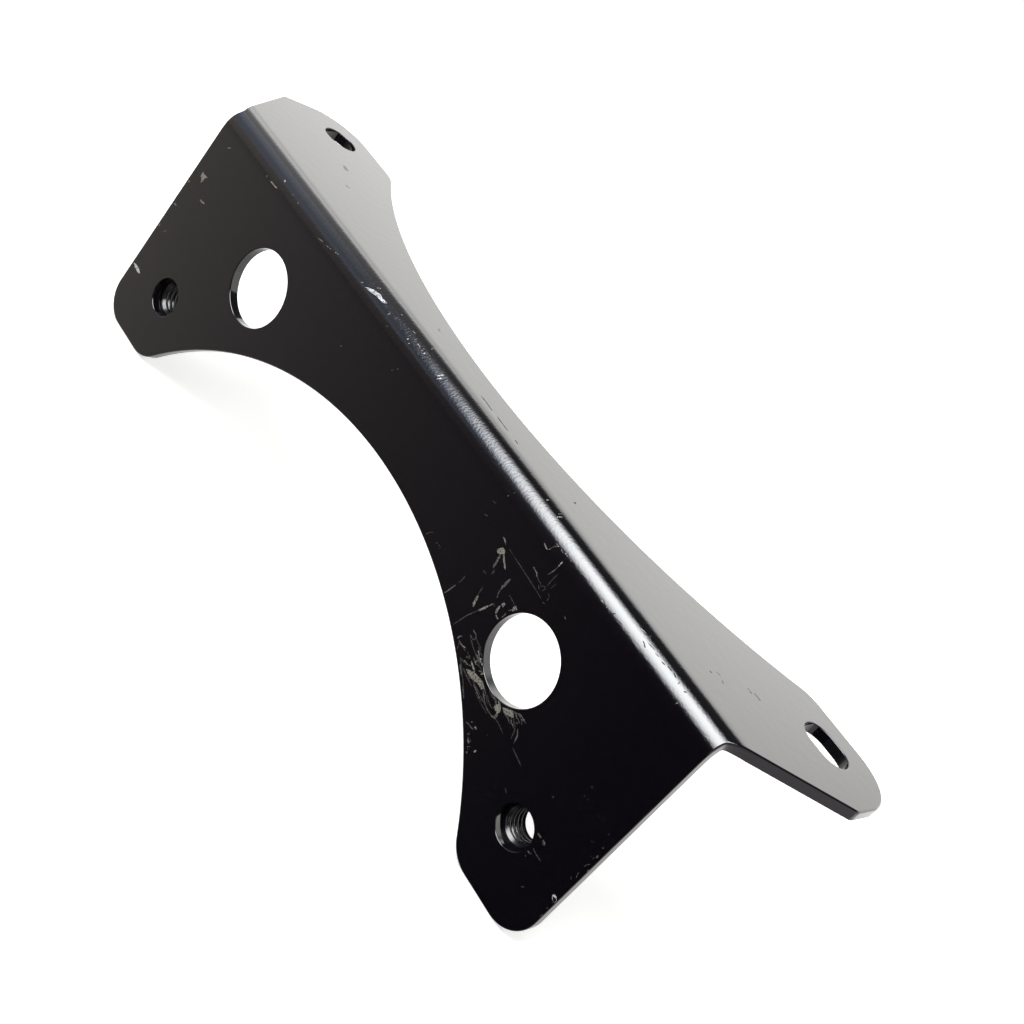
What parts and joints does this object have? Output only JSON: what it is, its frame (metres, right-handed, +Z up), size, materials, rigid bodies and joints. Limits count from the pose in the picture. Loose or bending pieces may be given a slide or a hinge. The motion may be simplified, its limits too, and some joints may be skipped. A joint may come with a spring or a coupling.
{
  "type": "headlight mounting bracket",
  "caption": "Folded steel bracket that carries a round motorbike headlight: arc-cut front flange with threaded nuts, flared top flange with a hole and a slot.",
  "frame": {"origin": "on the front flange's outer face, midway between the centres of the two large holes", "axes": "+X along the fold towards the ear with the slot, +Y back from the front flange under the top flange, +Z up, out of the top flange's face"},
  "size_m": [0.2208, 0.0474, 0.0604],
  "materials": {
    "gloss_black_paint": "gloss black paint over steel, with scuffs, scratches and small chips"
  },
  "bodies": {
    "root": {"bracket": "gloss_black_paint", "weld_nut_left": "gloss_black_paint", "weld_nut_right": "gloss_black_paint"}
  },
  "joints": []
}
